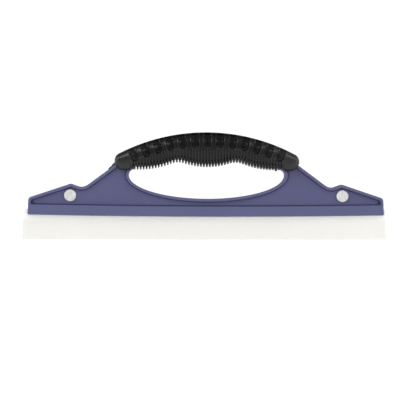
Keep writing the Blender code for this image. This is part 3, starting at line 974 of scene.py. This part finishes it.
def blade_silicone():
    """Milky silicone, smooth, slightly cloudy and a little translucent, with painted light: paler under the
    band, where the band's shade falls.
    """
    m = Nodes("milky_silicone")
    cloud = m.noise(22.0, stretch=(0.5, 1.0, 1.0))
    # Painted light: the top 4.5 mm under the band turns paler to cancel the band's shadow.
    painted_light_under_band = m.along("Z", BAND_BOTTOM_Z - 4.5 * MM, BAND_BOTTOM_Z)
    colour = m.mixed(m.ramp(cloud, SILICONE_LIP), m.ramp(cloud, SILICONE_PAINTED_LIGHT), painted_light_under_band)
    m.join(colour, m.shader.inputs["Base Color"])
    m.join(m.between(m.noise(90.0, detail=4.0), *SILICONE_ROUGHNESS), m.shader.inputs["Roughness"])
    m.shader.inputs["Subsurface Weight"].default_value = 0.5
    m.shader.inputs["Subsurface Radius"].default_value = (0.004, 0.0036, 0.003)
    m.shader.inputs["Subsurface Scale"].default_value = 1.0
    ripple = m.bump(m.noise(60.0, stretch=(1.0, 1.0, 0.4)), distance=0.4 * MM, strength=0.2)
    grain = m.bump(m.noise(1500.0, detail=2.0), distance=0.03 * MM, strength=0.4, below=ripple)
    m.join(grain, m.shader.inputs["Normal"])
    return m.material


def scuffed_metal():
    """Nickel-plated post heads, scuffed and mottled by handling."""
    m = Nodes("scuffed_nickel")
    mottle = m.noise(620.0, detail=4.0, roughness=0.6)
    m.join(m.ramp(mottle, NICKEL), m.shader.inputs["Base Color"])
    m.shader.inputs["Metallic"].default_value = 0.45
    m.join(m.between(m.noise(900.0, detail=5.0), *METAL_ROUGHNESS), m.shader.inputs["Roughness"])
    m.join(m.bump(mottle, distance=0.3 * MM, strength=0.35), m.shader.inputs["Normal"])
    return m.material


# Studio

# Brightness of the surround as a light, and as the camera sees it.
WORLD_FRONT = 0.32
WORLD_BEHIND = 0.05
WORLD_SIDES = 2.4
WORLD_TURN = 0.3
WORLD_SEEN = 1.05
FLOOR_GREY = (0.4, 0.4, 0.4, 1.0)
FLOOR_HALF = 6.0
FLOOR_DROP = 0.05 * MM
FLOOR_GLOW = 0.8
FLOOR_SEEN = 0.95
# Softboxes: name, place, size in metres and power in watts.
SOFTBOXES = (
    ("left key", (-0.68, -0.75, 1.12), (0.5, 0.5), 4.6),
    ("right key", (0.78, -0.75, 1.08), (0.5, 0.5), 2.4),
    ("rear", (0.3, 1.2, 0.9), (0.9, 0.6), 0.6),
)
SOFTBOX_TARGET = (0.0, 0.0, 0.05)
CAMERA_DISTANCE = 1.0
CAMERA_YAW = math.radians(2.588)
CAMERA_ROLL = math.radians(0.186)
CAMERA_HEIGHT = 35.1 * MM
CAMERA_SIDESTEP = 5.96 * MM
SEEN_WIDTH = 351.2 * MM
SENSOR_WIDTH = 36.0


def white_world():
    """A plain white surround. As a light it is brightest in front of the tool and dim behind it."""
    world = bpy.data.worlds.new("white_studio")
    bpy.context.scene.world = world
    world.use_nodes = True
    tree = world.node_tree
    background = tree.nodes["Background"]
    background.inputs["Color"].default_value = (1.0, 1.0, 1.0, 1.0)
    seen = tree.nodes.new("ShaderNodeLightPath").outputs["Is Camera Ray"]
    strength = tree.nodes.new("ShaderNodeMapRange")
    strength.inputs["To Max"].default_value = WORLD_SEEN
    tree.links.new(seen, strength.inputs["Value"])
    direction = tree.nodes.new("ShaderNodeSeparateXYZ")
    place = tree.nodes.new("ShaderNodeTexCoord").outputs["Generated"]
    tree.links.new(place, direction.inputs["Vector"])
    front = tree.nodes.new("ShaderNodeMapRange")
    front.inputs["From Min"].default_value = WORLD_TURN
    front.inputs["From Max"].default_value = -WORLD_TURN
    front.inputs["To Min"].default_value = WORLD_BEHIND
    front.inputs["To Max"].default_value = WORLD_FRONT
    tree.links.new(direction.outputs["Y"], front.inputs["Value"])
    square = tree.nodes.new("ShaderNodeMath")
    square.operation = "MULTIPLY"
    tree.links.new(direction.outputs["X"], square.inputs[0])
    tree.links.new(direction.outputs["X"], square.inputs[1])
    total = tree.nodes.new("ShaderNodeMath")
    total.operation = "MULTIPLY_ADD"
    total.inputs[1].default_value = WORLD_SIDES
    tree.links.new(square.outputs["Value"], total.inputs[0])
    tree.links.new(front.outputs["Result"], total.inputs[2])
    tree.links.new(total.outputs["Value"], strength.inputs["To Min"])
    tree.links.new(strength.outputs["Result"], background.inputs["Strength"])


def pale_floor():
    """A wide floor just below the wiping edge, which glows so that it merges with the surround."""
    bm = bmesh.new()
    bmesh.ops.create_grid(bm, x_segments=1, y_segments=1, size=FLOOR_HALF)
    floor = new_object("floor", bm)
    floor.location.z = LIP_LOW[2] - FLOOR_DROP
    material = bpy.data.materials.new("pale_floor")
    material.use_nodes = True
    shader = material.node_tree.nodes["Principled BSDF"]
    shader.inputs["Base Color"].default_value = FLOOR_GREY
    shader.inputs["Roughness"].default_value = 0.9
    shader.inputs["Specular IOR Level"].default_value = 0.0
    shader.inputs["Emission Color"].default_value = (1.0, 1.0, 1.0, 1.0)
    tree = material.node_tree
    glow = tree.nodes.new("ShaderNodeMapRange")
    glow.inputs["To Min"].default_value = FLOOR_GLOW
    glow.inputs["To Max"].default_value = FLOOR_SEEN
    seen = tree.nodes.new("ShaderNodeLightPath").outputs["Is Camera Ray"]
    tree.links.new(seen, glow.inputs["Value"])
    tree.links.new(glow.outputs["Result"], shader.inputs["Emission Strength"])
    floor.data.materials.append(material)


def softbox(name, place, size, power):
    data = bpy.data.lights.new(name, "AREA")
    data.shape = "RECTANGLE"
    data.size, data.size_y = size
    data.energy = power
    light = bpy.data.objects.new(name, data)
    light.location = place
    aim = Vector(SOFTBOX_TARGET) - Vector(place)
    light.rotation_euler = aim.to_track_quat("-Z", "Y").to_euler()
    bpy.context.scene.collection.objects.link(light)


def front_camera():
    """A long lens before the front of the tool, turned a touch to one side."""
    sideways = Vector((math.cos(CAMERA_YAW), -math.sin(CAMERA_YAW), 0.0))
    ahead = Vector((math.sin(CAMERA_YAW), math.cos(CAMERA_YAW), 0.0))
    data = bpy.data.cameras.new("camera")
    data.sensor_width = SENSOR_WIDTH
    data.lens = SENSOR_WIDTH * CAMERA_DISTANCE / SEEN_WIDTH
    camera = bpy.data.objects.new("camera", data)
    aim = Vector((FRAME_X, 0.0, CAMERA_HEIGHT)) - sideways * CAMERA_SIDESTEP
    camera.location = aim - ahead * CAMERA_DISTANCE
    camera.rotation_euler = (math.pi / 2, -CAMERA_ROLL, -CAMERA_YAW)
    bpy.context.scene.collection.objects.link(camera)
    bpy.context.scene.camera = camera


def main():
    bpy.context.scene.view_settings.view_transform = "Standard"
    front_camera()
    white_world()
    pale_floor()
    for box in SOFTBOXES:
        softbox(*box)
    plastic = frame_plastic()
    rubber = grip_rubber()
    metal = scuffed_metal()
    frame_shell("front_shell_moulding", FRONT, plastic, "front_frame_shell")
    frame_shell("rear_shell_moulding", REAR, plastic, "rear_frame_shell")
    grip_half("front_grip_moulding", FRONT, rubber, "front_grip")
    grip_half("rear_grip_moulding", REAR, rubber, "rear_grip")
    blade(blade_silicone())
    for label in ("left", "right"):
        for kind in ("binding_post", "clamp_screw"):
            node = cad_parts[f"{label}_{kind}"]
            node.data.materials.clear()
            node.data.materials.append(metal)
            node.data.shade_smooth()
            node.data.set_sharp_from_angle(angle=math.radians(30))


main()
